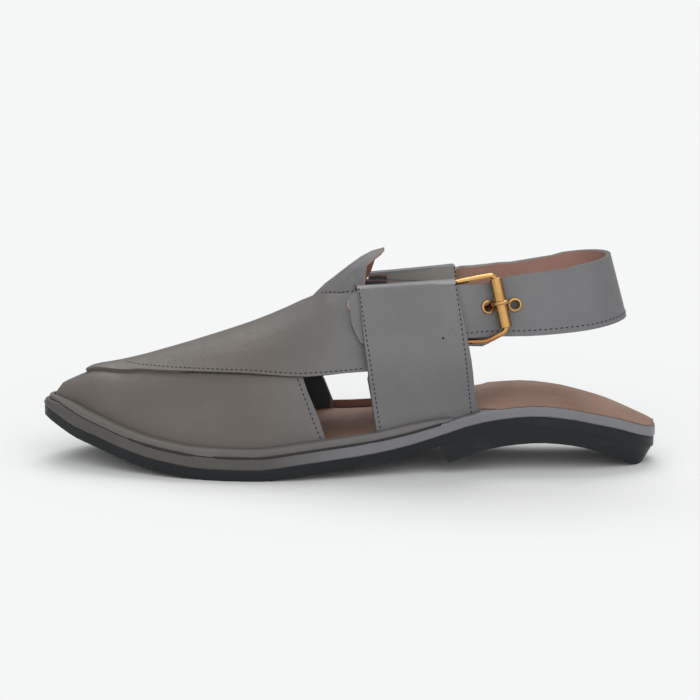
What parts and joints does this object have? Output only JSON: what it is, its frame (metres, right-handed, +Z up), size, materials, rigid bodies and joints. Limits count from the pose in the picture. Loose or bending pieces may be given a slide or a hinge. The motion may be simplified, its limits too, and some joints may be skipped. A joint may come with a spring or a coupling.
{
  "type": "peshawari chappal",
  "caption": "Left slingback sandal with crossed vamp panels, folded side sleeves, a buckled heel strap and a curved heel.",
  "frame": {"origin": "on the ground under the middle of the shoe's length and width", "axes": "+X runs from toe to heel, -Y is the outer (buckle) side, +Z is up"},
  "size_m": [0.2929, 0.0997, 0.1015],
  "materials": {
    "grey_leather": "smooth, low gloss",
    "edge_leather": "smooth wrapped edge, low gloss",
    "black_sole": "satin edge",
    "tan_leather": "soft matt",
    "brass": "polished"
  },
  "bodies": {
    "root": {"outsole": "black_sole", "heel": "black_sole", "midsole": "edge_leather", "rand": "grey_leather", "insole": "tan_leather", "upper": "grey_leather", "heel_strap": "grey_leather", "buckle_frame": "brass", "buckle_roller": "brass", "buckle_prong": "brass", "eyelet_front": "brass", "eyelet_rear": "brass"}
  },
  "joints": []
}
